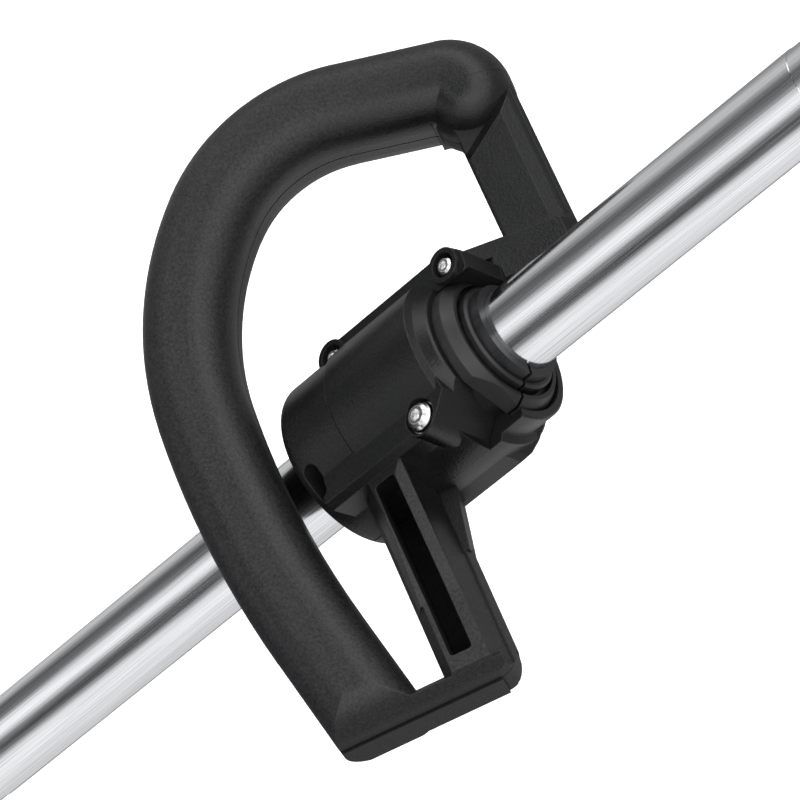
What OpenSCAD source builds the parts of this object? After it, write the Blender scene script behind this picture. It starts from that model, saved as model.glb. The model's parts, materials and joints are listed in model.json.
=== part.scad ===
// Loop handle station of a string trimmer: a shaft tube with its drive shaft,
// and the split loop handle that is clamped on it.
// Frame: X along the shaft tube, forward. Z out of the clamp cap side. Origin at the
// centre of the tube's rear end. Millimetres.

/* [Shaft tube] */
// Outside diameter of the tube
tube_d = 26; // [24:0.1:28]
// Wall thickness of the tube
tube_wall = 1.5; // [1:0.1:2.5]
// Length of the tube
tube_len = 450; // [300:5:1800]
// Diameter of the turned seat at each end of the tube
seat_d = 25.5; // [23:0.1:27]
// Length of the turned seat at each end
seat_len = 45; // [20:1:80]

/* [Drive shaft] */
// Diameter of the drive shaft
drive_d = 8; // [6:0.1:10]
// How far each end of the drive shaft stands out of the tube
drive_out = 12; // [5:1:30]
// Width across the square drive end
drive_square = 5.5; // [4:0.1:7]
// Radial clearance between the drive shaft and its sleeves
drive_gap = 0.05; // [0.02:0.01:0.1]
// Outside diameter of a bearing sleeve
sleeve_d = 13; // [11:0.1:16]
// Length of a bearing sleeve
sleeve_len = 24; // [12:1:40]
// Length of a rubber bearing carrier
carrier_len = 22; // [12:1:40]
// Distance from a tube end to the first bearing
bearing_inset = 62; // [40:1:120]

/* [Clamp] */
// Distance from the rear end of the tube to the clamp's centre
hub_x = 245; // [150:1:400]
// Turn of the clamp screws round the tube from the loop's own plane of symmetry
clamp_turn = 11.5; // [0:0.5:20]
// Radius of the round clamp body
hub_r = 28.5; // [25:0.1:35]
// Radius of the rear collar behind the step line
collar_r = 27.8; // [25:0.1:35]
// Rear end of the clamp body from the clamp's centre
hub_back = 32; // [25:0.5:45]
// Place of the step line between collar and cap, behind the centre
step_back = 10; // [0:0.5:20]
// Width of the fine groove at the step
step_line = 0.6; // [0.3:0.1:1]
// Front end of the full clamp radius, ahead of the centre
hub_front = 24; // [15:0.5:40]
// Front end of the clamp neck
neck_front = 29; // [20:0.5:45]
// Radius of the neck ahead of the cap
neck_r = 24.5; // [20:0.1:28]
// Front end of the lower collar on the far side
far_front = 34; // [25:0.5:45]
// Height of the parting plane above the tube's axis
split_z = 0; // [-3:0.1:8]
// Open gap between the two shells
split_gap = 0.4; // [0.2:0.05:1]
// Depth of the block behind the parting plane
block_z = 19; // [14:0.1:24]
// Height of the flat shoulder that carries the clamp screw
shoulder_z = 23; // [18:0.1:26]
// Outer edge of the flat shoulder from the tube's axis
shoulder_y = 24.4; // [22:0.1:28]

/* [Bushes] */
// Radial clearance between tube and sliding sleeve, and between sleeve and bushes
slide_gap = 0.05; // [0.02:0.01:0.1]
// Outside radius of the sliding sleeve
slider_r = 15.6; // [14.5:0.1:17]
// Outside radius of the rubber bushes in their seat
bush_r = 18; // [17:0.1:20]
// Radius of the front bush's flange
flange_r = 22.6; // [20:0.1:24]
// Thickness of the front bush's flange
flange_len = 6.6; // [3:0.1:10]
// Distance of the flat on that flange from the tube's axis
flange_flat = 20.8; // [18:0.1:24]
// Distance of the upper flat on that flange, beside the front upper screw
flange_top = 17.6; // [16.8:0.1:18]
// Radius of the front bush's lip
lip_r = 17.4; // [16.2:0.1:18.5]
// How far the lip stands out of the flange
lip_len = 2; // [0.5:0.1:5]
// Gap between the front bush's flange and the clamp body
seat_gap = 0.3; // [0.2:0.05:0.5]
// Width of the slit in the bushes and in the sliding sleeve
slit_w = 1.2; // [0.6:0.1:2]

/* [Screws] */
// Place of the clamp screw along the tube from the clamp's centre
clamp_screw_x = 15.9; // [5:0.1:25]
// Distance of the clamp screw from the tube's axis
clamp_screw_y = 21; // [20.8:0.1:24]
// Diameter of the clamp screw
clamp_screw_d = 5; // [4:0.5:6]
// Length of the clamp screw under its head
clamp_screw_len = 38; // [30:0.5:45]
// Head diameter of the clamp screw
clamp_head_d = 9.1; // [8:0.1:11]
// Washer diameter under the clamp screw
washer_d = 9.8; // [9.6:0.1:13]
// Place of the rear upper screw along the tube
upper_back = -12; // [-20:0.1:0]
// Place of the front upper screw along the tube
upper_front = 35.4; // [25:0.1:40]
// Distance of the upper screws from the tube's axis
upper_y = 21.6; // [20:0.1:24]
// Height of the seat of the upper screws above the parting plane
upper_seat = 15.3; // [10:0.1:18]
// Radius of the brass inserts that the upper screws turn into
insert_r = 2.8; // [2.4:0.1:3]
// Diameter of the upper screws
upper_d = 4; // [3:0.5:5]
// Length of the upper screws under their heads
upper_screw_len = 22; // [16:0.5:26]
// Head diameter of the upper screws
upper_head_d = 6.6; // [6:0.1:8]

/* [Loop] */
// Angle of the loop's plane to the tube, measured from a plane across the tube
loop_turn = 60; // [40:1:75]
// Where the loop's plane crosses the tube's axis, ahead of the clamp's centre
loop_x = 5; // [-10:0.5:15]
// Width of the grip in the loop's plane
grip_w = 27.6; // [24:0.1:34]
// Thickness of the grip across the loop's plane
grip_t = 31; // [24:0.5:36]
// Corner radius of the grip's section
grip_r = 11.5; // [6:0.5:13.5]
// Where the upper bar meets the bend, across the loop
bar_v = -11.4; // [-30:0.1:10]
// Where the upper bar meets the bend, along the legs
bar_w = -96.7; // [-110:0.1:-80]
// Slope of the upper bar
bar_slope = 14.4; // [0:0.1:25]
// Length of the straight upper bar
bar_len = 31.4; // [15:0.1:60]
// Outer radius of the loop's upper corner
corner_r = 20.6; // [14:0.1:24]
// Radius of the first part of the bend
bend_1_r = 49.6; // [30:0.1:80]
// Turn of the first part of the bend
bend_1_turn = 60.4; // [30:0.1:80]
// Radius of the second part of the bend
bend_2_r = 92.8; // [60:0.1:200]
// Turn of the second part of the bend
bend_2_turn = 40.2; // [20:0.1:60]
// Radius of the long lower curve
sweep_r = 292; // [150:1:600]
// Turn of the long lower curve
sweep_turn = 15.3; // [5:0.1:20]
// Wall thickness of the loop's shells
wall = 3.2; // [2:0.1:4]
// Inner side of the upper leg, across the loop
upper_leg_in = -38.8; // [-45:0.1:-30]
// Width of the upper leg
upper_leg_w = 21.4; // [14:0.1:28]
// Half the thickness of both legs
leg_t = 12; // [9:0.1:15]
// Outer side of the lower leg, across the loop
lower_leg_out = 7.2; // [0:0.1:15]
// Width of the lower leg
lower_leg_w = 21.6; // [14:0.1:28]
// Lower end face of the loop
foot_w = 86.6; // [75:0.1:110]
// Rounding of the foot's near edge
foot_round = 11.5; // [4:0.1:12]
// Top of the platform that carries the upper leg, from the tube's axis
platform_y = 32.3; // [28:0.1:40]

/* [Hidden] */
$fn = 64;
through = 80;
tube_r = tube_d / 2;
bore_r = tube_r - tube_wall;
drive_r = drive_d / 2;
half_gap = split_gap / 2;
bolt_r = clamp_screw_d / 2;
small_r = upper_d / 2;
bearings = [bearing_inset, tube_len / 2 - 5, tube_len - bearing_inset];
nut_z = -14.6;
room = 0.3;
lap = 1.5;
thin = 0.1;
leg_v = upper_leg_in - upper_leg_w / 2;
leg_half = upper_leg_w / 2;
pocket_v = lower_leg_out + 10.4;
posts = [
  [-24, -93.5],
  [41, -78.5],
  [62.9, -14],
  [58.8, 44]
];
shell_color = [0.07, 0.07, 0.075];
steel_color = [0.72, 0.73, 0.75];
rubber_color = [0.05, 0.05, 0.05];
alu_color = [0.8, 0.81, 0.83];
brass_color = [0.75, 0.6, 0.3];

// ---------- frames ----------

// Clamp frame: X along the tube from the clamp's centre, Z along the clamp screws.
module clamp_frame() {
  translate([hub_x, 0, 0]) rotate([-clamp_turn, 0, 0]) children();
}

// Loop frame: X out to the grip, Y down the lower leg, Z out of the near face.
module loop_frame() {
  translate([hub_x + loop_x, 0, 0]) rotate([180, -90 - loop_turn, 0]) children();
}

// A rod along X in the current frame.
module rod(x0, x1, r) {
  translate([x0, 0, 0]) rotate([0, 90, 0]) cylinder(r = r, h = x1 - x0);
}

// ---------- shaft ----------

module shaft_tube() {
  color(alu_color)
  difference() {
    union() {
      rod(0, tube_len, seat_d / 2);
      rod(seat_len, tube_len - seat_len, tube_r);
    }
    rod(-1, tube_len + 1, bore_r);
  }
}

module drive_shaft() {
  color(steel_color)
  union() {
    rod(0, tube_len, drive_r);
    translate([-drive_out, -drive_square / 2, -drive_square / 2])
      cube([drive_out + 1, drive_square, drive_square]);
    translate([tube_len - 1, -drive_square / 2, -drive_square / 2])
      cube([drive_out + 1, drive_square, drive_square]);
  }
}

// Rubber ring with three lips that grip the tube's bore.
module carrier(at) {
  color(rubber_color)
  translate([at, 0, 0])
  difference() {
    union() {
      rod(-carrier_len / 2, carrier_len / 2, bore_r - 0.8);
      for (k = [-1, 0, 1])
        rod(k * (carrier_len / 2 - 2) - 2, k * (carrier_len / 2 - 2) + 2, bore_r);
    }
    rod(-carrier_len, carrier_len, sleeve_d / 2);
  }
}

module bearing(at) {
  color(brass_color)
  translate([at, 0, 0])
  difference() {
    rod(-sleeve_len / 2, sleeve_len / 2, sleeve_d / 2);
    rod(-sleeve_len, sleeve_len, drive_r + drive_gap);
  }
}

module rear_carrier() { carrier(bearings[0]); }
module mid_carrier() { carrier(bearings[1]); }
module front_carrier() { carrier(bearings[2]); }
module rear_bearing() { bearing(bearings[0]); }
module mid_bearing() { bearing(bearings[1]); }
module front_bearing() { bearing(bearings[2]); }

// ---------- bushes ----------

// The slit lies on the lower side, at the parting plane of the clamp.
module slit(x0, x1) {
  translate([x0, -30, -slit_w / 2]) cube([x1 - x0, 30, slit_w]);
}

module sliding_sleeve() {
  color([0.09, 0.09, 0.1])
  clamp_frame()
  difference() {
    rod(-hub_back - 4, neck_front + 12, slider_r);
    rod(-hub_back - 5, neck_front + 13, tube_r + slide_gap);
    slit(-hub_back - 5, neck_front + 13);
  }
}

module front_bush() {
  color(rubber_color)
  clamp_frame()
  difference() {
    union() {
      rod(2, neck_front + seat_gap, bush_r);
      translate([neck_front + seat_gap, 0, 0]) rotate([0, 90, 0])
        rotate_extrude()
          polygon([
            [0, 0], [flange_r, 0], [flange_r, flange_len - 3.4],
            [flange_r - 2.4, flange_len], [lip_r + 1.5, flange_len],
            [lip_r + 1.5, flange_len - 2.6], [lip_r, flange_len - 2.6],
            [lip_r, flange_len + lip_len - 0.7], [lip_r - 0.7, flange_len + lip_len],
            [0, flange_len + lip_len]
          ]);
    }
    rod(1, neck_front + 20, slider_r + slide_gap);
    slit(1, neck_front + 20);
    // flat on the lower side of the flange
    rotate([-21.7, 0, 0]) translate([neck_front - 1, -flange_flat - 10, -30]) cube([12, 10, 60]);
    // flat beside the front upper screw
    translate([neck_front - 1, flange_top, -30]) cube([12, 10, 60]);
  }
}

module rear_bush() {
  color(rubber_color)
  clamp_frame()
  difference() {
    union() {
      rod(-hub_back - seat_gap, -8, bush_r);
      rod(-hub_back - 2.6, -hub_back - seat_gap, bush_r + 2);
    }
    rod(-hub_back - 5, 0, slider_r + slide_gap);
    slit(-hub_back - 5, 0);
  }
}

// ---------- loop sections ----------

// Rounded bar section: w in the loop's plane, t across it.
module bar_section(w, t, r) {
  square([w - 2 * r, t], center = true);
  square([w, t - 2 * r], center = true);
  for (a = [-1, 1], b = [-1, 1])
    translate([a * (w / 2 - r), b * (t / 2 - r)]) circle(r = r, $fn = 32);
}

// One curved part of the grip, along X at its start and turning left.
// "reach" is how far it runs on into its neighbours at both ends.
module curved(r, turn, w, t, c, reach) {
  more = reach / r * 180 / PI;
  translate([0, r, 0]) rotate([0, 0, -90 - more])
    rotate_extrude(angle = turn + 2 * more) translate([r, 0]) bar_section(w, t, c);
}

// One straight part of the grip, along X.
module straight(from, to, w, t, c) {
  translate([from, 0, 0]) rotate([90, 0, 90]) linear_extrude(to - from) bar_section(w, t, c);
}

// Moves on to the end of a curved part.
module after(r, turn) {
  translate([0, r, 0]) rotate([0, 0, turn]) translate([0, -r, 0]) children();
}

// Rounded upper corner: a wide outer turn, and a knob that fills it.
module upper_corner(w, t, c) {
  translate([0, corner_r - w / 2, 0]) rotate([0, 0, bar_slope - 180])
    rotate_extrude(angle = 90 - bar_slope)
      intersection() {
        translate([corner_r - w / 2, 0]) bar_section(w, t, c);
        translate([0.5, -t]) square([2 * w, 2 * t]);
      }
  translate([0, corner_r - w / 2, 0]) rotate([0, 0, bar_slope - 180])
    translate([corner_r - w / 2, 0, 0])
    rotate_extrude()
      intersection() {
        bar_section(w - thin, t - thin, c);
        translate([0, -t]) square([w, 2 * t]);
      }
}

// The grip: rounded corner, upper bar, two-part bend, long lower curve, straight end.
// Every second part is a hair thinner and runs on into its neighbours.
module grip_sweep(w, t, c, ends) {
  translate([bar_v, bar_w, 0]) rotate([0, 0, -bar_slope]) {
    straight(-bar_len - 0.1, lap, w - thin, t - thin, c - thin / 2);
    if (ends)
      translate([-bar_len, 0, 0]) upper_corner(w, t, c);
    curved(bend_1_r, bend_1_turn, w, t, c, 0);
    after(bend_1_r, bend_1_turn) {
      curved(bend_2_r, bend_2_turn, w - thin, t - thin, c - thin / 2, lap);
      after(bend_2_r, bend_2_turn) {
        curved(sweep_r, sweep_turn, w, t, c, 0);
        if (ends)
          after(sweep_r, sweep_turn) straight(-lap, 50, w - thin, t - thin, c - thin / 2);
      }
    }
  }
}

// Upper leg: flat near face, and two bevels on its front edge.
module upper_leg_section() {
  polygon([
    [-leg_half, -6], [-leg_half, 6], [-leg_half + 2.7, leg_t - 2.2],
    [-leg_half + 6.6, leg_t], [leg_half - 1, leg_t], [leg_half, leg_t - 1],
    [leg_half, -leg_t + 2], [leg_half - 2, -leg_t], [-leg_half + 5, -leg_t]
  ]);
}

module upper_leg() {
  // core of the leg, up into the corner
  translate([leg_v - leg_half + 1, -84, -10]) cube([upper_leg_w - 1.4, 52, 18]);
  // thick part, its upper end cut on the slant
  difference() {
    translate([leg_v, -80, 0]) rotate([-90, 0, 0])
      linear_extrude(80 - 24) mirror([0, 1]) upper_leg_section();
    translate([-53.5, -68.8, leg_t]) rotate([0, 0, 35.5]) rotate([-42, 0, 0])
      translate([-30, -40, -20]) cube([60, 40, 40]);
  }
  // rounded inner corner against the bar
  difference() {
    translate([upper_leg_in - 3, -80, -10]) cube([8, 8.5, 18]);
    translate([upper_leg_in + 5, -71.5, -20]) cylinder(r = 5, h = 40);
  }
}

// Lower leg: flat near face with drafted sides, seen in section across the leg.
module lower_leg() {
  translate([0, 16, 0]) rotate([-90, 0, 0])
    linear_extrude(foot_w - 16) mirror([0, 1]) translate([lower_leg_out, 0])
      polygon([
        [2.3, 0.2], [6.9, leg_t], [lower_leg_w - 3, leg_t], [lower_leg_w, leg_t - 7],
        [lower_leg_w, -leg_t + 2], [lower_leg_w - 2, -leg_t],
        [3, -leg_t], [0.6, -leg_t + 2.4], [0, -5], [1.6, -0.1]
      ]);
}

// Bar that closes the loop at its foot, in section along the loop's length.
module foot_bar() {
  translate([lower_leg_out + 4, 0, 0]) rotate([90, 0, 90])
    linear_extrude(42)
      polygon([
        [foot_w - 7.3, 0], [foot_w - 2.4, 11], [foot_w + 3, 11],
        [foot_w + 3, -leg_t - 0.6], [foot_w - 9, -leg_t - 0.6], [foot_w - 11, -leg_t + 2]
      ]);
}

// Rounds off a corner of the foot in the loop's plane.
module corner_cut(v, w, r, side) {
  translate([v, w, -30])
  difference() {
    translate([side > 0 ? 0 : -r - 6, 0, 0]) cube([r + 6, r + 6, 60]);
    translate([0, 0, -1]) cylinder(r = r, h = 62);
  }
}

// Everything beyond the foot's end: a large rounding on the near edge, a small one behind.
module beyond_foot() {
  back = grip_t / 2;
  near_edge = foot_w - foot_round;
  translate([-60, 0, 0]) rotate([90, 0, 90])
    linear_extrude(200)
      difference() {
        translate([near_edge, -30]) square([60, 60]);
        translate([near_edge, back - foot_round]) circle(r = foot_round);
        translate([near_edge - 1, -1]) square([foot_round + 1, back - foot_round + 1]);
        translate([near_edge - 1, -30]) square([foot_round - 0.2, 30]);
        translate([near_edge - 1, -back + 2]) square([foot_round + 1.8, back - 2]);
        translate([foot_w - 1.2, -back + 2]) circle(r = 2);
      }
}

// Everything of the loop outside, before it is parted and hollowed.
module loop_body() {
  difference() {
    union() {
      grip_sweep(grip_w, grip_t, grip_r, true);
      upper_leg();
      lower_leg();
      foot_bar();
    }
    beyond_foot();
    corner_cut(lower_leg_out + 7, foot_w - 6.4, 6.4, -1);
  }
}

// Hollow inside the grip and the upper leg, and the deep pocket of the lower leg.
module loop_hollow() {
  grip_sweep(grip_w - 2 * wall, grip_t - 2 * wall, grip_r - wall, false);
  translate([leg_v - 6.4, -90, -7]) cube([13, 54, 12]);
  lower_pocket();
}

// Pocket in the lower leg with rounded corners, open on the near face.
module lower_pocket() {
  translate([pocket_v, 24.2, -8]) {
    translate([1.2, 0, 0]) cube([4.4, 55, 30]);
    translate([0, 1.2, 0]) cube([6.8, 52.6, 30]);
    for (v = [1.2, 5.6], w = [1.2, 53.8])
      translate([v, w, 0]) cylinder(r = 1.2, h = 30);
  }
}

// ---------- clamp bodies ----------

// Round clamp body turned about the tube, with a rounded rear edge.
module turned(body_r, front_r, front_x) {
  rotate([0, 90, 0])
  rotate_extrude() {
    translate([0, -hub_back]) square([collar_r - 4, 10]);
    translate([0, -hub_back + 4]) square([collar_r, hub_back - step_back - 4 - step_line]);
    translate([0, -step_back - step_line - 1]) square([collar_r - 0.8, step_line + 2]);
    translate([collar_r - 4, -hub_back + 4]) circle(r = 4);
    polygon([
      [0, -step_back], [body_r, -step_back], [body_r, hub_front], [body_r - 2.2, hub_front + 1.2],
      [front_r + 0.1, front_x - 0.6], [front_r - 0.5, front_x], [0, front_x]
    ]);
  }
}

// Plan of the block that carries the clamp screw, with its cut front corner.
module block_plan() {
  polygon([
    [-25, -10], [-25, -30], [15, -30], [17.7, -26.8], [20, -25.4],
    [23, -22.2], [26.4, -18], [25.4, -14], [22, -8]
  ]);
}

// Section of that block across the tube: flat shoulder, bevel and drafted side.
module block_section(near) {
  rotate([90, 0, 90])
    linear_extrude(60)
      if (near)
        polygon([
          [-10, 0], [-10, shoulder_z], [-shoulder_y, shoulder_z],
          [-shoulder_y - 1.5, shoulder_z - 2.8], [-shoulder_y - 0.4, 0]
        ]);
      else
        polygon([
          [-10, 0], [-shoulder_y - 0.4, 0], [-shoulder_y - 2.2, -4],
          [-shoulder_y - 2.2, -block_z + 3.8], [-shoulder_y, -block_z + 1.4],
          [-shoulder_y + 3.4, -block_z], [-10, -block_z]
        ]);
}

module block(near) {
  intersection() {
    translate([-30, 0, 0]) block_section(near);
    translate([0, 0, -30]) linear_extrude(60) block_plan();
  }
}

// Plan of the upper flange, which runs forward to the upper leg.
module upper_flange_plan() {
  polygon([
    [-19, 10], [-19, 24], [-16, 27], [38, 27], [41.5, 23.5],
    [41.5, 18], [30, 6.5], [neck_front, 2]
  ]);
}

module hub_near_solid() {
  difference() {
    turned(hub_r, neck_r, neck_front);
    // cut back along the block's front flank
    translate([0, 0, -1])
      linear_extrude(shoulder_z)
        polygon([
          [20, -25.4], [23, -22.2], [26.4, -18], [30.7, -12.7],
          [40, -12.7], [40, -40], [20, -40]
        ]);
  }
  rod(hub_front - 8, neck_front, bush_r + 1.8);
  block(true);
  translate([clamp_screw_x, -clamp_screw_y, 0])
    cylinder(r = washer_d / 2 + 1.1, h = shoulder_z - 0.1);
  linear_extrude(upper_seat + 0.4) upper_flange_plan();
  for (x = [upper_back, upper_front])
    translate([x, upper_y, 0]) cylinder(r = 5.4, h = upper_seat + 2.6);
}

module hub_far_solid() {
  turned(collar_r, neck_r + 0.9, far_front);
  block(false);
  translate([0, 0, -13]) linear_extrude(13 + split_z) upper_flange_plan();
}

// Holes shared by both clamp bodies.
module hub_holes() {
  rod(-hub_back - 10, far_front + through, bush_r);
  intersection() {
    rod(neck_front, far_front + through, flange_r + seat_gap);
    translate([neck_front - 1, -through / 2, -through / 2])
      cube([through, through / 2 + flange_top + seat_gap, through]);
  }
  // clamp screw: hole, counterbore and nut pocket
  translate([clamp_screw_x, -clamp_screw_y, -through / 2])
    cylinder(r = bolt_r + 0.2, h = through);
  translate([clamp_screw_x, -clamp_screw_y, shoulder_z - 2.5])
    cylinder(r = washer_d / 2 + 0.4, h = through / 4);
  translate([clamp_screw_x, -clamp_screw_y, nut_z - 0.1 - through / 4]) rotate([0, 0, 30])
    cylinder(r = 8.1 / sqrt(3), h = through / 4 + 4.2, $fn = 6);
  // upper screws: holes and counterbores, and seats for the inserts
  for (x = [upper_back, upper_front]) {
    translate([x, upper_y, -10]) cylinder(r = small_r + 0.2, h = through / 2);
    translate([x, upper_y, upper_seat]) cylinder(r = upper_head_d / 2 + 0.6, h = 10);
    translate([x, upper_y, -8]) cylinder(r = insert_r, h = 8 + split_z);
  }
}

// Obround slot in the rear collar, for a cable tie.
module tie_slot() {
  translate([-25.8, -16.6, 10]) {
    translate([-2.6, -3.1, 0]) cube([5.2, 6.2, 30]);
    translate([0, -3.1, 0]) cylinder(r = 2.6, h = 30);
    translate([0, 3.1, 0]) cylinder(r = 2.6, h = 30);
  }
}

// Block that carries the upper leg at the front of the far clamp body.
module platform() {
  difference() {
    loop_frame() translate([0, -44, 0]) rotate([-90, 0, 0])
      linear_extrude(25) mirror([0, 1])
        polygon([
          [leg_v - leg_half, -10], [leg_v - leg_half, 9], [leg_v - leg_half + 4, 13],
          [-24, 13], [-14, 8], [-12, -12], [-52, -13]
        ]);
    clamp_frame() translate([-20, platform_y, -70]) cube([110, 40, 110]);
  }
}

// Room kept for the other clamp body on each side of the parting plane.
module near_room(grow) {
  translate([-hub_back - 1, -shoulder_y - 1.2, split_z - grow])
    cube([hub_back + 45, shoulder_y + 28.5, 60]);
  intersection() {
    rod(-hub_back - 1, hub_front + 1.5, hub_r + room);
    translate([-60, -60, split_z - grow]) cube([120, 120, 60]);
  }
}

module far_room(grow) {
  translate([-hub_back - 1, -shoulder_y - 2.5, split_z + grow - 60])
    cube([hub_back + 45, shoulder_y + 29.8, 60]);
  intersection() {
    rod(-hub_back - 1, hub_front + 1.5, collar_r + room);
    translate([-60, -60, split_z + grow - 60]) cube([120, 120, 60]);
  }
}

// Root of the lower leg: the near face climbs to the clamp's shoulder.
module leg_root() {
  intersection() {
    loop_frame() rotate([90, 0, 90]) linear_extrude(60)
      polygon([[16, 4], [16, 20.6], [22, 20.2], [62, leg_t - 0.1], [62, 4]]);
    loop_frame() translate([lower_leg_out, 10, 0]) rotate([-90, 0, 0])
      linear_extrude(60) mirror([0, 1])
        polygon([[6.9, 4], [6.9, 22], [16.4, 22], [lower_leg_w - 0.1, 4]]);
    clamp_frame() translate([-60, -90, -20]) cube([120, 90, 20 + shoulder_z - 2.8]);
  }
}

// Web that stiffens the lower leg's root, behind the parting plane of the loop.
module leg_web() {
  translate([0, 0, -leg_t + 1])
    linear_extrude(leg_t - 1)
      polygon([[7.6, 47], [4.1, 29], [2.2, 22], [2.2, 17], [14, 17], [14, 47]]);
}

module half_space(near) {
  translate([-200, -200, near ? half_gap : -200 - half_gap]) cube([500, 500, 200]);
}

// ---------- handle shells ----------

module handle_near() {
  color(shell_color)
  difference() {
    union() {
      clamp_frame()
      intersection() {
        hub_near_solid();
        translate([-80, -80, split_z + half_gap]) cube([200, 200, 80]);
      }
      difference() {
        union() {
          loop_frame()
          intersection() {
            loop_body();
            half_space(true);
          }
          leg_root();
        }
        loop_frame() loop_hollow();
        clamp_frame() {
          far_room(half_gap);
          translate([20, -20, -80]) cube([100, platform_y + half_gap + 20, 140]);
        }
      }
      loop_frame()
      for (p = posts)
        translate([p[0], p[1], half_gap]) cylinder(r = 4, h = grip_t / 2 - wall + 0.4);
    }
    clamp_frame() {
      hub_holes();
      tie_slot();
    }
    loop_frame()
    for (p = posts)
      translate([p[0], p[1], -1]) cylinder(r = 1.6, h = 10);
  }
}

module handle_far() {
  color(shell_color)
  difference() {
    union() {
      clamp_frame()
      intersection() {
        hub_far_solid();
        translate([-80, -80, split_z - half_gap - 80]) cube([200, 200, 80]);
      }
      difference() {
        union() {
          loop_frame()
          difference() {
            intersection() {
              union() {
                loop_body();
                leg_web();
              }
              half_space(false);
            }
            loop_hollow();
          }
          platform();
        }
        clamp_frame() near_room(half_gap);
      }
      loop_frame()
      for (p = posts)
        translate([p[0], p[1], -grip_t / 2 + 0.8]) cylinder(r = 4.6, h = grip_t / 2 - 0.8 - half_gap);
    }
    clamp_frame() hub_holes();
    loop_frame()
    for (p = posts) {
      translate([p[0], p[1], -20]) cylinder(r = 1.8, h = 22);
      translate([p[0], p[1], -30]) cylinder(r = 3.6, h = 30 - 7);
    }
  }
}

// ---------- fasteners ----------

// Button head with a hexagon socket, seated at z = 0, shank downwards.
module button_screw(r, head_r, head_h, len, socket) {
  difference() {
    union() {
      translate([0, 0, -len]) cylinder(r = r, h = len);
      rotate_extrude()
        polygon([
          [0, 0], [head_r, 0], [head_r, head_h * 0.25], [head_r * 0.94, head_h * 0.5],
          [head_r * 0.8, head_h * 0.78], [head_r * 0.6, head_h], [0, head_h]
        ]);
    }
    translate([0, 0, head_h * 0.35]) cylinder(r = socket / sqrt(3), h = head_h, $fn = 6);
  }
}

module clamp_screw() {
  color(steel_color)
  clamp_frame()
  translate([clamp_screw_x, -clamp_screw_y, shoulder_z - 1.5])
    button_screw(bolt_r, clamp_head_d / 2, 3.2, clamp_screw_len, 3.2);
}

module clamp_washer() {
  color(steel_color)
  clamp_frame()
  translate([clamp_screw_x, -clamp_screw_y, shoulder_z - 2.5])
  difference() {
    cylinder(r = washer_d / 2, h = 1);
    translate([0, 0, -1]) cylinder(r = bolt_r + 0.15, h = 3);
  }
}

module clamp_nut() {
  color(steel_color)
  clamp_frame()
  translate([clamp_screw_x, -clamp_screw_y, nut_z]) rotate([0, 0, 30])
  difference() {
    cylinder(r = 8 / sqrt(3), h = 4, $fn = 6);
    translate([0, 0, -1]) cylinder(r = bolt_r, h = 6);
  }
}

module upper_screws() {
  color(steel_color)
  clamp_frame()
  for (x = [upper_back, upper_front])
    translate([x, upper_y, upper_seat])
      button_screw(small_r, upper_head_d / 2, 2.4, upper_screw_len, 2.4);
}

module upper_inserts() {
  color(brass_color)
  clamp_frame()
  for (x = [upper_back, upper_front])
    translate([x, upper_y, -8])
    difference() {
      cylinder(r = insert_r, h = 8 + split_z - half_gap);
      translate([0, 0, -1]) cylinder(r = small_r, h = 20);
    }
}

module loop_screws() {
  color(steel_color)
  loop_frame()
  for (p = posts)
    translate([p[0], p[1], -7]) rotate([180, 0, 0]) button_screw(1.5, 3.1, 2.2, 15, 2.2);
}

shaft_tube();
drive_shaft();
rear_carrier();
rear_bearing();
mid_carrier();
mid_bearing();
front_carrier();
front_bearing();
sliding_sleeve();
rear_bush();
front_bush();
handle_near();
handle_far();
clamp_screw();
clamp_washer();
clamp_nut();
upper_screws();
upper_inserts();
loop_screws();
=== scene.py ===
# %% [markdown]
# # A loop handle on a trimmer's shaft tube
#
# A string trimmer is carried by two hands. The rear hand holds the throttle, and the front hand
# holds a loop of black moulded plastic that is clamped on the bright shaft tube. This lesson
# dresses that station: the tube and the drive shaft that runs in it, the rubber bushes, and the
# two half shells with their screws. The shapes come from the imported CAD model, so the work here
# is light, finish and the small things that a mould or a tool leaves on a surface.

# %% Start from the fixed frame
import json
import math

import bmesh
import bpy
from mathutils import Matrix, Vector


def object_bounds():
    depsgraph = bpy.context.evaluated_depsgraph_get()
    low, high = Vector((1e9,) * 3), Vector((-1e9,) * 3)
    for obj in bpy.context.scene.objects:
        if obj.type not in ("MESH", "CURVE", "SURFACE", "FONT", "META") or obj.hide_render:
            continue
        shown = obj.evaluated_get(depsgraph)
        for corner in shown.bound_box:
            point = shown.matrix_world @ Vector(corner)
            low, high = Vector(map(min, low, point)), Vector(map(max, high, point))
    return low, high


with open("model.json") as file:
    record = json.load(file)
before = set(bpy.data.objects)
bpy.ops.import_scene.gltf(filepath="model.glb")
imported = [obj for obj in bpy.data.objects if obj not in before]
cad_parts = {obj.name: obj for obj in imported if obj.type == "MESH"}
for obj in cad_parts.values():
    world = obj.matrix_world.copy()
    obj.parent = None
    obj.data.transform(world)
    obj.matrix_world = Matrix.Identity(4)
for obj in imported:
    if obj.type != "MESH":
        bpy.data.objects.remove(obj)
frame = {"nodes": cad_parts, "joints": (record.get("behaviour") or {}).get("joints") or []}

MM = 0.001
nodes = frame["nodes"]
cad_low, cad_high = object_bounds()
clamp_pos = next(j["pos_m"] for j in frame["joints"] if j["name"] == "handle_turn")
clamp_centre = Vector(clamp_pos)
print("pieces from the frame:", len(nodes))
print("clamp centre on the tube:", [round(c, 3) for c in clamp_centre])

# %% [markdown]
# ## Two helpers
#
# Paint and plastic colours are written as sRGB hex, the way a colour card gives them. Shaders
# work in linear light, so one function turns the one into the other. A second function adds a
# shader node with its settings and its links, so that a recipe reads from top to bottom.

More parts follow.
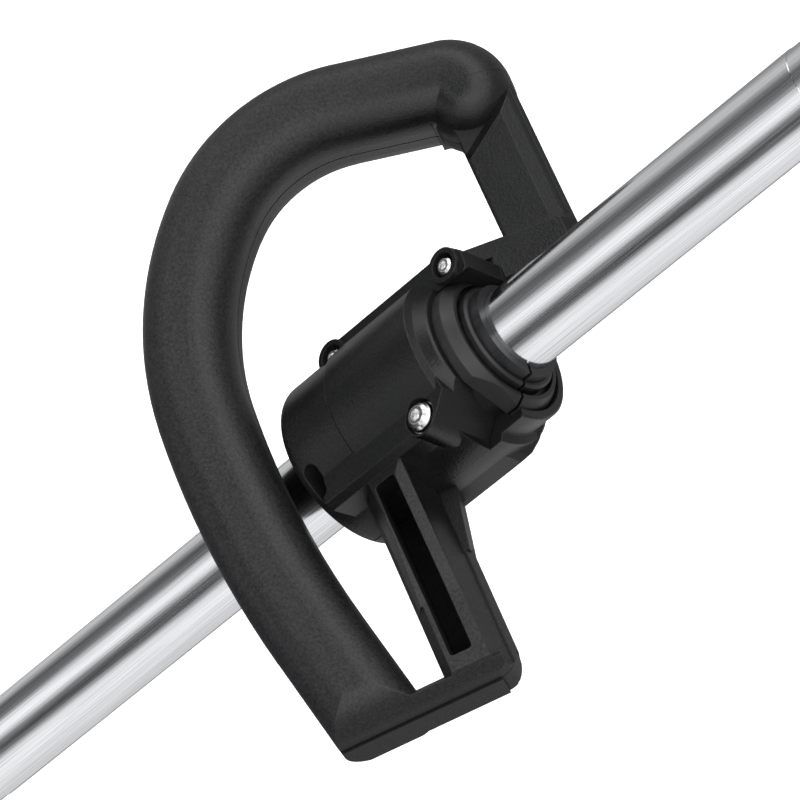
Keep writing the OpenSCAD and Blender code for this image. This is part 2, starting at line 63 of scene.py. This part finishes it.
# %% Colour and node helpers
def linear(hex_code):
    """An sRGB hex colour as linear red, green, blue and alpha."""
    channels = [int(hex_code[i:i + 2], 16) / 255 for i in (1, 3, 5)]
    return [c / 12.92 if c < 0.04045 else ((c + 0.055) / 1.055) ** 2.4 for c in channels] + [1.0]


def add(tree, kind, inputs=None, **settings):
    """One shader node. inputs maps a socket's name or number to a value or to another socket."""
    made = tree.nodes.new(kind)
    for key, value in settings.items():
        setattr(made, key, value)
    for key, value in (inputs or {}).items():
        if isinstance(value, bpy.types.NodeSocket):
            tree.links.new(value, made.inputs[key])
        else:
            made.inputs[key].default_value = value
    return made


print("black nylon #17181A in linear light:", [round(c, 4) for c in linear("#17181A")[:3]])

# %% [markdown]
# ## Helpers for numbers and colours in a shader
#
# A recipe mostly does three things with a value: it calculates, it carries a value from one
# range to another, or it goes from one tone to another. Each has its own short function here,
# and each gives back the socket that the next step links to.

# %% Value helpers
def calculate(tree, operation, *values):
    """The result of one operation on numbers or sockets."""
    return add(tree, "ShaderNodeMath", dict(enumerate(values)), operation=operation).outputs[0]


def remap(tree, value, from_low, from_high, to_low=0.0, to_high=1.0):
    """A value carried from one range to another, and held at that range's ends."""
    return add(tree, "ShaderNodeMapRange", {
        "Value": value, "From Min": from_low, "From Max": from_high,
        "To Min": to_low, "To Max": to_high,
    }).outputs[0]


def between(tree, share, first, second):
    """A number that goes from the first to the second as the share goes from 0 to 1."""
    return add(tree, "ShaderNodeMix", {0: share, 2: first, 3: second}).outputs[0]


def blend(tree, share, first, second, blend_type="MIX"):
    """A colour that goes from the first to the second as the share goes from 0 to 1."""
    return add(tree, "ShaderNodeMix", {0: share, 6: first, 7: second},
               data_type="RGBA", blend_type=blend_type).outputs[2]


print("value helpers:", calculate.__name__, remap.__name__, between.__name__, blend.__name__)

# %% [markdown]
# ## The camera
#
# The tube runs from the lower left to the upper right of the picture, and the camera looks down
# on it from the front and the clamp screw's side. Three angles say that: azimuth round the
# object, elevation above it, and roll, which tips the tube onto the picture's diagonal. A long
# lens from over a metre away keeps the loop's two halves nearly the same size, as on a
# product shot.

# %% Camera
AZIMUTH, ELEVATION, ROLL = (math.radians(a) for a in (49.857, 49.897, -81.346))
DISTANCE = 1.25
ASIDE, ABOVE = -5.8 * MM, 2.64 * MM
SENSOR_WIDTH = 36
LONG_LENS = 194
NEAR_LIMIT, FAR_LIMIT = 0.05, 30

back = Vector((
    math.sin(AZIMUTH) * math.cos(ELEVATION),
    -math.cos(AZIMUTH) * math.cos(ELEVATION),
    math.sin(ELEVATION),
))
level = Vector((math.cos(AZIMUTH), math.sin(AZIMUTH), 0))
right = level * math.cos(ROLL) + back.cross(level) * math.sin(ROLL)
up = back.cross(right)

camera = bpy.data.objects.new("camera", bpy.data.cameras.new("camera"))
bpy.context.scene.collection.objects.link(camera)
camera.data.sensor_width = SENSOR_WIDTH
camera.data.lens = LONG_LENS
camera.data.clip_start, camera.data.clip_end = NEAR_LIMIT, FAR_LIMIT
camera.matrix_world = Matrix((
    (right.x, up.x, back.x, 0),
    (right.y, up.y, back.y, 0),
    (right.z, up.z, back.z, 0),
    (0, 0, 0, 1),
))
camera.location = clamp_centre + right * ASIDE + up * ABOVE + back * DISTANCE
bpy.context.scene.camera = camera
print("camera at", [round(c, 3) for c in camera.location])

# %% [markdown]
# ## The tent round the tube
#
# Black plastic is drawn by what it reflects, and bright metal even more so. The studio is
# therefore a tent of pale cloth with a few long dark gaps between its panels. A polished tube
# turns each gap into a dark line along its length. The panels are told by the angle round the
# tube's own direction, and they lean, so the lines drift across the tube from one end to the
# other. A grey ramp over that angle is enough to hold them all.

# %% Directions in the tent
world = bpy.data.worlds.new("white_tent")
bpy.context.scene.world = world
world.use_nodes = True
tent = world.node_tree
tent.nodes.clear()
way = add(tent, "ShaderNodeTexCoord")
split = add(tent, "ShaderNodeSeparateXYZ", {0: way.outputs["Generated"]})
forward = split.outputs["X"]
around = calculate(tent, "ARCTAN2", split.outputs["Y"], split.outputs["Z"])
LEAN_BEHIND, LEAN_AHEAD = -0.77, 0.46
lean = remap(tent, forward, -0.70, -0.25, LEAN_BEHIND, LEAN_AHEAD)
leaning = calculate(tent, "ADD", around, lean)
print("the panels lean by", round(math.degrees(LEAN_AHEAD - LEAN_BEHIND)), "degrees")

# %% [markdown]
# Each pair below is a place round the tube in degrees and the light level there. A wide panel
# comes first, then a dark gap, a bright panel, a wider dark gap, and a grey panel that fades.
# Between two pairs the level goes evenly from the one to the other, as at a soft cloth edge.

# %% Cloth panels
def panel_ramp(steps, position, low=-180, high=180):
    """A grey ramp from (place, light level) pairs, with the places between low and high."""
    ramp = add(tent, "ShaderNodeValToRGB", {0: position})
    stops = ramp.color_ramp.elements
    while len(stops) > 1:
        stops.remove(stops[-1])
    stops[0].position = 0.0
    stops[0].color = (steps[0][1],) * 3 + (1,)
    for place, light_level in steps[1:]:
        stop = stops.new((place - low) / (high - low))
        stop.color = (light_level,) * 3 + (1,)
    return ramp.outputs[0]


def turn_share(angle):
    """An angle in radians as a share of the full turn from -180 to 180 degrees."""
    return remap(tent, angle, -math.pi, math.pi)


TENT_PANELS = [
    (-180, 0.70), (-130, 0.90), (-105, 1.05), (-80, 0.95),
    (-70, 0.20), (-60, 0.05), (-45, 0.10), (-35, 0.35),
    (-25, 1.05), (-10, 1.15), (5, 0.75),
    (15, 0.20), (45, 0.10),
    (75, 0.60), (95, 0.60), (120, 0.30),
]
panels = panel_ramp(TENT_PANELS, turn_share(leaning))
print("ends of the panels and the gaps round the tube:", len(TENT_PANELS))

# %% [markdown]
# ## The tent ahead of the tube
#
# Ahead of the tube's front end the tent has two bright panels with a wide dark gap between
# them, and dim cloth all round. The tube's side, seen from here, hardly mirrors that part of the
# room, but the handle's faces do. It can therefore be lit for the handle.

# %% Cloth ahead
AHEAD_PANELS = [
    (-180, 0.40), (-90, 0.50), (-16, 2.30), (-3, 2.30), (6, 0.04), (49, 0.04), (58, 2.40),
    (72, 2.20), (88, 0.45), (115, 0.35), (180, 0.40),
]
ahead = remap(tent, forward, -0.05, 0.30)
upright_share = turn_share(around)
cloth = blend(tent, ahead, panels, panel_ramp(AHEAD_PANELS, upright_share))
print("ends of the panels ahead:", len(AHEAD_PANELS))

# %% [markdown]
# Narrow strip lights cross the wide gap ahead, and each draws one soft streak along the grip.
# Their width is told by how far ahead they stand, from -1 behind the tube to 1 ahead of it, and
# their length by the angle round the tube. The two ramps are multiplied, which leaves light
# only where both say so. The room behind the rear end is left dim, so that the grip's outer
# edge turns dark.

# %% Strip lights and the dim rear
STRIPS_ACROSS = [
    (-1, 0), (-0.01, 0), (0.03, 3.1), (0.11, 3.1), (0.15, 0), (0.54, 0), (0.62, 2.8),
    (0.78, 2.0), (1, 0.8),
]
STRIP_REACH = [(-180, 0), (2, 0), (10, 1), (48, 1), (56, 0), (180, 0)]
DIM_REAR = (0.10, 0.10, 0.11, 1)
across = panel_ramp(STRIPS_ACROSS, remap(tent, forward, -1.0, 1.0), low=-1, high=1)
reach = panel_ramp(STRIP_REACH, upright_share)
strips = blend(tent, 1.0, across, reach, "MULTIPLY")
striped = blend(tent, 1.0, cloth, strips, "ADD")
behind = remap(tent, forward, -0.72, -0.88)
room = blend(tent, behind, striped, DIM_REAR)
print("brightest strip:", max(light for place, light in STRIPS_ACROSS))

# %% [markdown]
# ## Who sees the tent
#
# Three kinds of rays look at the world. The camera and clear pieces see plain white. Mirror-like
# surfaces see the tent and its panels. Matt surfaces get one even, pale light.

# %% The world's three faces
EVEN_LEVEL = 0.40
ray = add(tent, "ShaderNodeLightPath")
even = add(tent, "ShaderNodeBackground", {"Color": linear("#F4F5F7"), "Strength": EVEN_LEVEL})
white = add(tent, "ShaderNodeBackground", {"Color": (1, 1, 1, 1), "Strength": 1.0})
mirrored = add(tent, "ShaderNodeBackground", {"Color": room, "Strength": 1.0})
lighting = add(tent, "ShaderNodeMixShader", {
    0: ray.outputs["Is Glossy Ray"], 1: even.outputs[0], 2: mirrored.outputs[0],
})
looked_at = calculate(tent, "MAXIMUM", ray.outputs["Is Camera Ray"],
                      ray.outputs["Is Transmission Ray"])
whole = add(tent, "ShaderNodeMixShader", {
    0: looked_at, 1: lighting.outputs[0], 2: white.outputs[0],
})
add(tent, "ShaderNodeOutputWorld", {0: whole.outputs[0]})
print("even light on matt surfaces:", EVEN_LEVEL)

# %% [markdown]
# ## Soft lamps
#
# Three soft lamps stand behind the tent's cloth, so they light matt surfaces and draw soft
# shadows, and no mirror-like surface shows them. The largest hangs above. The second stands
# ahead of the tube's front end and lights the faces of the clamp that look that way. The third
# comes from the far side, behind.

# %% Lamps
def softbox(name, offset, size, watts):
    """A square area lamp at an offset in metres from the clamp, turned towards it."""
    data = bpy.data.lights.new(name, "AREA")
    data.size = size
    data.energy = watts
    data.color = linear("#FFFDFA")[:3]
    lamp = bpy.data.objects.new(name, data)
    bpy.context.scene.collection.objects.link(lamp)
    lamp.location = clamp_centre + Vector(offset)
    lamp.rotation_euler = (-Vector(offset)).to_track_quat("-Z", "Y").to_euler()
    lamp.visible_glossy = False


softbox("key_lamp", (0.35, 0.10, 1.25), 0.8, 14)
softbox("front_lamp", (1.3, 0.0, 0.30), 0.9, 6)
softbox("rim_lamp", (-0.9, 0.9, 0.25), 0.6, 4)

# %% [markdown]
# ## Floor
#
# The floor is a wide pale sheet well below the tube, because the tool is held up in the hands.
# It takes a faint shadow. It glows a little to the camera alone, which brings it up to the
# white round it. Mirror-like surfaces don't show it, and have the tent's cloth there instead.

# %% Floor
HALF_FLOOR = 4.0
FLOOR_DROP = 0.24
FLOOR_GLOW = 0.62
floor_mesh = bpy.data.meshes.new("floor")
sheet_bm = bmesh.new()
bmesh.ops.create_grid(sheet_bm, x_segments=1, y_segments=1, size=HALF_FLOOR)
sheet_bm.to_mesh(floor_mesh)
sheet_bm.free()
floor = bpy.data.objects.new("floor", floor_mesh)
bpy.context.scene.collection.objects.link(floor)
floor.location = (clamp_centre.x, 0, cad_low.z - FLOOR_DROP)
floor.visible_glossy = False

floor_paint = bpy.data.materials.new("white_paper_floor")
floor_paint.use_nodes = True
tree = floor_paint.node_tree
tree.nodes.clear()
ray = add(tree, "ShaderNodeLightPath")
paper = add(tree, "ShaderNodeBsdfDiffuse", {"Color": linear("#F6F6F6")})
glow = add(tree, "ShaderNodeEmission", {"Color": (1, 1, 1, 1), "Strength": FLOOR_GLOW})
lit = add(tree, "ShaderNodeAddShader", {0: paper.outputs[0], 1: glow.outputs[0]})
seen_mix = add(tree, "ShaderNodeMixShader", {
    0: ray.outputs["Is Camera Ray"], 1: paper.outputs[0], 2: lit.outputs[0],
})
add(tree, "ShaderNodeOutputMaterial", {0: seen_mix.outputs[0]})
floor.data.materials.append(floor_paint)
print("floor at z =", round(floor.location.z, 3))

# %% [markdown]
# ## What every finish starts from
#
# Each finish is one Principled surface with coordinates in metres, so the size of a pattern can
# be written as the real one's. The tone, the gloss and the fine relief are made first, and are
# then led into the surface. Noise does for whatever has no order, such as dust or a rubbed
# skin. Stretched along X it draws the lines that a die leaves on a tube.

# %% Finish helpers
def new_finish(name):
    """An empty material with its tree, its metre coordinates and its surface shader."""
    finish = bpy.data.materials.new(name)
    finish.use_nodes = True
    tree = finish.node_tree
    tree.nodes.clear()
    place = add(tree, "ShaderNodeTexCoord")
    surface = add(tree, "ShaderNodeBsdfPrincipled")
    add(tree, "ShaderNodeOutputMaterial", {0: surface.outputs[0]})
    return finish, tree, place.outputs["Object"], surface


def noise(tree, place, size, detail, roughness=0.5, distortion=0.0):
    """Cloudy noise from 0 to 1. size is the size of its marks, in the units of the place."""
    return add(tree, "ShaderNodeTexNoise", {
        "Vector": place, "Scale": 1 / size, "Detail": detail, "Roughness": roughness,
        "Distortion": distortion,
    }).outputs[0]


def stretch(tree, place, length, width):
    """Coordinates in which one unit is a mark's length along X and its width across."""
    return add(tree, "ShaderNodeMapping", {
        "Vector": place, "Scale": (1 / length, 1 / width, 1 / width),
    }).outputs[0]


def relief(tree, strength, depth, height, **under):
    """Normals tipped by a height pattern. under may give the normals that it lies on."""
    return add(tree, "ShaderNodeBump", {
        "Strength": strength, "Distance": depth, "Height": height, **under,
    }).outputs[0]


def lead_in(tree, surface, tone, roughness, normal):
    """Link a tone, a roughness and normals to the surface shader."""
    tree.links.new(tone, surface.inputs["Base Color"])
    tree.links.new(roughness, surface.inputs["Roughness"])
    tree.links.new(normal, surface.inputs["Normal"])


print("finish helpers:", noise.__name__, stretch.__name__, relief.__name__, lead_in.__name__)

# %% [markdown]
# ## Edges and crevices
#
# The meshes come with the exact surface's own normals: smooth over a curved face, and broken
# where two faces meet. They are left as they are. A mould leaves its edges a little round and
# hands wear them first, so the moulded pieces and the small metal ones round their normals there
# in the material, and the crest of an edge can be told apart; the nylon paints it paler, partly
# as wear and partly as a painted highlight. A seam or a pocket is told by how much of the open
# room a point sees, and the nylon paints shade there.

# %% Edge and crevice helpers
def rounded_edges(tree, radius):
    """Normals that round each sharp edge by a radius in metres."""
    return add(tree, "ShaderNodeBevel", {"Radius": radius}, samples=4).outputs[0]


def wear_and_highlight_crest(tree, rounded):
    """1 on the crest of a sharp edge and 0 on open faces, from rounded against true normals."""
    true_one = add(tree, "ShaderNodeNewGeometry")
    closeness = add(tree, "ShaderNodeVectorMath", {
        0: rounded, 1: true_one.outputs["Normal"],
    }, operation="DOT_PRODUCT")
    return remap(tree, closeness.outputs["Value"], 0.995, 0.90)


def crevices(tree, reach, open_from):
    """1 on open faces and 0 deep in a seam or a pocket, where the nylon paints shade."""
    openness = add(tree, "ShaderNodeAmbientOcclusion", {"Distance": reach}, samples=6)
    return remap(tree, openness.outputs["AO"], 0.25, open_from)


print("edge helpers:", rounded_edges.__name__, wear_and_highlight_crest.__name__, crevices.__name__)

# %% [markdown]
# ## Moulded shells: black glass-filled nylon
#
# The two shells are injection moulded in nylon with short glass fibres, because the handle takes
# the weight of the tool. The mould is spark eroded, which leaves a fine even grain of pits about
# 0.3 mm across. The real pits are too fine to show from over a metre, so they are drawn at
# 0.7 mm, with dust marks of 0.9 mm over them. The grip is painted paler and more mottled than
# the clamp and the legs, and these are painted darker: painted light for the brighter sheen on
# the grip and the duller one by the clamp. The grip lies farther out than they do, so the
# distance from a point by the clamp's front end tells the two apart.

# %% Nylon: where the grip is painted paler and where shade is painted
PIT = 0.7 * MM
DUST_MARK = 0.9 * MM
EDGE_ROUND = 0.5 * MM
POCKET_REACH, SEAM_REACH = 11 * MM, 1.0 * MM
CLAMP_TONE_UP_TO, GRIP_TONE_FROM = 70 * MM, 90 * MM
nylon, tree, place, surface = new_finish("nylon_moulded_spark_grain")
dust = noise(tree, place, DUST_MARK, 4.0, 0.7)
mottle = remap(tree, dust, 0.34, 0.66)
rounded = rounded_edges(tree, EDGE_ROUND)
crest = wear_and_highlight_crest(tree, rounded)
# painted shade: these shares paint pockets and seams dark below, and also make them matt
openness = crevices(tree, POCKET_REACH, 0.88)
seam = crevices(tree, SEAM_REACH, 0.85)
by_the_clamp = clamp_centre + Vector((35, 10, -20)) * MM
how_far = add(tree, "ShaderNodeVectorMath", {0: place, 1: by_the_clamp}, operation="DISTANCE")
# painted light: 0 by the clamp, which is painted darker, and 1 on the grip, which is painted
# paler
handled_and_sheen = remap(tree, how_far.outputs["Value"], CLAMP_TONE_UP_TO, GRIP_TONE_FROM)
print("the handled skin starts", round(GRIP_TONE_FROM / MM), "mm out")

# %% [markdown]
# The tones go from the inside out: mottled dusty skin, painted darker by the clamp and paler on
# the grip, then the crest of each edge, painted paler as wear and as a painted highlight, then
# painted shade in the pockets and in the seams between the shells.

# %% Nylon: tones
# painted light: the clamp's tone is painted darker and the grip's paler, over random dust mottle
clean_and_shaded = blend(tree, mottle, linear("#060607"), linear("#121315"))
dust_and_sheen = blend(tree, mottle, linear("#070708"), linear("#29292B"))
skin = blend(tree, handled_and_sheen, clean_and_shaded, dust_and_sheen)
# painted highlight: edge crests painted paler, partly as wear and partly as a highlight
wear_and_highlight_tone = blend(tree, handled_and_sheen, linear("#1B1C1E"), linear("#303235"))
crest_wear_and_highlight = blend(tree, crest, skin, wear_and_highlight_tone)
# painted shade: near black in pockets, and black in the seams between the shells
with_pocket_shade = blend(tree, openness, linear("#010101"), crest_wear_and_highlight)
nylon_tone = blend(tree, seam, linear("#000000"), with_pocket_shade)
print("nylon goes from #060607 on the clamp to #29292B on the dusty grip")

# %% [markdown]
# The flow of the melt gives slow, faint changes of gloss, some centimetres across. The handled
# skin is rougher, and the foot's underside is scuffed matt, because the tool is set down on it.
# A pocket or a seam holds dust and has no gloss at all.

# %% Nylon: gloss and grain
FLOW_SIZE = 38 * MM
GRIP_ROUGHER, FOOT_ROUGHER = 0.12, 0.30
FOOT_SIDE, FOOT_UNDERSIDE = -82 * MM, -86 * MM
GRAIN_DEPTH = 0.08 * MM
flow = noise(tree, place, FLOW_SIZE, 3.0, distortion=0.6)
gloss = remap(tree, flow, 0.3, 0.7, 0.29, 0.37)
coarser = calculate(tree, "MULTIPLY_ADD", handled_and_sheen, GRIP_ROUGHER, gloss)
sideways = add(tree, "ShaderNodeSeparateXYZ", {0: place}).outputs["Y"]
set_down = remap(tree, sideways, FOOT_SIDE, FOOT_UNDERSIDE, 0.0, FOOT_ROUGHER)
scuffed = calculate(tree, "ADD", coarser, set_down)
pocket_matt = between(tree, openness, 1.0, scuffed)
seam_matt = between(tree, seam, 1.0, pocket_matt)
pits = add(tree, "ShaderNodeTexVoronoi", {
    "Vector": place, "Scale": 1 / PIT, "Randomness": 1.0,
}, feature="F1")
grain_height = calculate(tree, "ADD", pits.outputs["Distance"], dust)
grain = relief(tree, 0.6, GRAIN_DEPTH, grain_height, Normal=rounded)
lead_in(tree, surface, nylon_tone, seam_matt, grain)
surface.inputs["IOR"].default_value = 1.46
print("grain pits drawn at", round(PIT / MM, 2), "mm")

# %% [markdown]
# ## Bushes: moulded rubber
#
# The two bushes are squeezed between the shells and the sleeve and keep the engine's buzz out of
# the hand, and three rings of the same rubber hold the bearings in the tube. Rubber comes from
# a polished mould, so it has no grain. Its black is a little browner than the nylon's, and it
# reflects more softly. The turned mould insert leaves fine rings. They are drawn 0.8 mm apart,
# coarser than real ones, so that they show.

# %% Rubber
RING_STEP = 0.8 * MM
RING_DEPTH = 0.05 * MM
BLOOM_SIZE = 4 * MM
rubber, tree, place, surface = new_finish("rubber_moulded_turned_insert")
axes = add(tree, "ShaderNodeSeparateXYZ", {0: place})
square_y = calculate(tree, "POWER", axes.outputs["Y"], 2.0)
square_z = calculate(tree, "POWER", axes.outputs["Z"], 2.0)
from_axis = calculate(tree, "SQRT", calculate(tree, "ADD", square_y, square_z))
along = calculate(tree, "ADD", axes.outputs["X"], from_axis)
ring_wave = calculate(tree, "SINE",
                      calculate(tree, "MULTIPLY", along, 2 * math.pi / RING_STEP))
bloom = noise(tree, place, BLOOM_SIZE, 5.0, 0.55)
rubber_tone = blend(tree, bloom, linear("#111010"), linear("#222021"))
dull = remap(tree, bloom, 0.3, 0.7, 0.36, 0.52)
ridges = relief(tree, 0.12, RING_DEPTH, ring_wave, Normal=rounded_edges(tree, EDGE_ROUND))
lead_in(tree, surface, rubber_tone, dull, ridges)
surface.inputs["IOR"].default_value = 1.52
print("mould rings every", RING_STEP / MM, "mm")

# %% [markdown]
# ## Sliding sleeve: acetal
#
# The thin split sleeve between tube and bushes slides along the tube when the clamp is loosened.
# It is turned from black acetal, a slippery plastic with a clean, slightly waxy gloss, and the
# tube rubs faint lengthwise lines into it. Noise stretched along X draws such lines.

# %% Acetal
RUB_LENGTH, RUB_WIDTH = 30 * MM, 0.5 * MM
RUB_DEPTH = 0.02 * MM
acetal, tree, place, surface = new_finish("acetal_turned")
rub_lines = noise(tree, stretch(tree, place, RUB_LENGTH, RUB_WIDTH), 1, 3.0)
wax = blend(tree, rub_lines, linear("#141416"), linear("#26272A"))
slick = remap(tree, rub_lines, 0.3, 0.7, 0.26, 0.42)
lead_in(tree, surface, wax, slick, relief(tree, 0.1, RUB_DEPTH, rub_lines))
surface.inputs["IOR"].default_value = 1.48
print("acetal rubbed in", round(RUB_LENGTH / MM), "mm lines")

# %% [markdown]
# ## Shaft tube: drawn aluminium
#
# The tube is drawn through a die and then brushed along its length. That leaves thousands of fine
# lengthwise lines. They hardly blur a reflection along the tube, and they spread it round the
# tube, which is why the dark bands have soft, thready edges. The metal keeps its own reflection
# colour, a cool light grey. Line spacing is about 0.2 mm, drawn at 0.35 mm so that it shows.
# Broader, fainter bands lie under the lines, from uneven wear of the die.

# %% Drawn aluminium
LINE_LENGTH, LINE = 45 * MM, 0.35 * MM
BAND_LENGTH, BAND = 160 * MM, 3.5 * MM
BAND_SHARE = 0.5
LINE_DEPTH = 0.012 * MM
drawn, tree, place, surface = new_finish("aluminium_drawn_brushed")
die_lines = noise(tree, stretch(tree, place, LINE_LENGTH, LINE), 1, 5.0, 0.65)
thread = remap(tree, die_lines, 0.38, 0.62, -0.10, 0.60)
bands = noise(tree, stretch(tree, place, BAND_LENGTH, BAND), 1, 2.0)
streaks = calculate(tree, "MULTIPLY_ADD", bands, BAND_SHARE, thread)
metal_tone = blend(tree, streaks, linear("#CFD1D6"), linear("#FBFBFC"))
metal_gloss = remap(tree, die_lines, 0.3, 0.7, 0.10, 0.20)
lead_in(tree, surface, metal_tone, metal_gloss, relief(tree, 0.30, LINE_DEPTH, die_lines))
surface.inputs["Metallic"].default_value = 1.0
print("die lines drawn at", round(LINE / MM, 2), "mm")

# %% [markdown]
# ## Screws, washer and nut: plated steel
#
# The button-head screws, the washer and the nut are cold formed in steel and zinc plated. The
# plating is bright, slightly warm, and takes small scuffs from the key. The same recipe with
# other hex values gives the ground steel of the drive shaft, the turned brass of the inserts
# and the oily sintered bronze of the bearing sleeves, so one function makes all four. Their
# marks are drawn up to 0.9 mm across, coarser than real ones, so that they show.

# %% Bright and dull metals
def metal_finish(name, dark, light, rough_low, rough_high, speck, bump):
    """A metal with a speckled tone and gloss. speck is the size of its marks in metres."""
    finish, tree, place, surface = new_finish(name)
    marks = noise(tree, place, speck, 6.0, 0.6)
    tone = blend(tree, marks, linear(dark), linear(light))
    gloss = remap(tree, marks, 0.3, 0.7, rough_low, rough_high)
    rounded = rounded_edges(tree, 0.25 * MM)
    lead_in(tree, surface, tone, gloss, relief(tree, bump, 0.02 * MM, marks, Normal=rounded))
    surface.inputs["Metallic"].default_value = 1.0
    return finish


plated = metal_finish("steel_zinc_plated", "#CDCDCE", "#F3F3F3", 0.13, 0.26, 0.9 * MM, 0.05)
ground = metal_finish("steel_ground_oiled", "#84878B", "#A9ACB0", 0.18, 0.32, 0.8 * MM, 0.10)
turned_brass = metal_finish("brass_turned", "#C79A46", "#E3BE72", 0.20, 0.34, 0.6 * MM, 0.15)
bronze = metal_finish("bronze_sintered_oily", "#7C5A33", "#A57C4B", 0.30, 0.48, 0.3 * MM, 0.40)
print("metals:", plated.name, ground.name, turned_brass.name, bronze.name)

# %% [markdown]
# ## Dress the frame's pieces
#
# Every piece that came with the frame keeps its mesh and gets its finish.

# %% Hand out the finishes
FINISHES = {
    "shaft_tube": drawn, "drive_shaft": ground,
    "rear_carrier": rubber, "mid_carrier": rubber, "front_carrier": rubber,
    "rear_bearing": bronze, "mid_bearing": bronze, "front_bearing": bronze,
    "sliding_sleeve": acetal, "rear_bush": rubber, "front_bush": rubber,
    "handle_near": nylon, "handle_far": nylon,
    "clamp_screw": plated, "clamp_washer": plated, "clamp_nut": plated,
    "upper_screws": plated, "upper_inserts": turned_brass, "loop_screws": plated,
}
for name, finish in FINISHES.items():
    mesh = nodes[name].data
    mesh.materials.clear()
    mesh.materials.append(finish)
print("dressed:", len(FINISHES), "of", len(nodes), "pieces")

# %% [markdown]
# ## Colour management
#
# The view transform is Standard, which adds no contrast of its own to the colours.

# %% Finish
bpy.context.scene.view_settings.view_transform = "Standard"
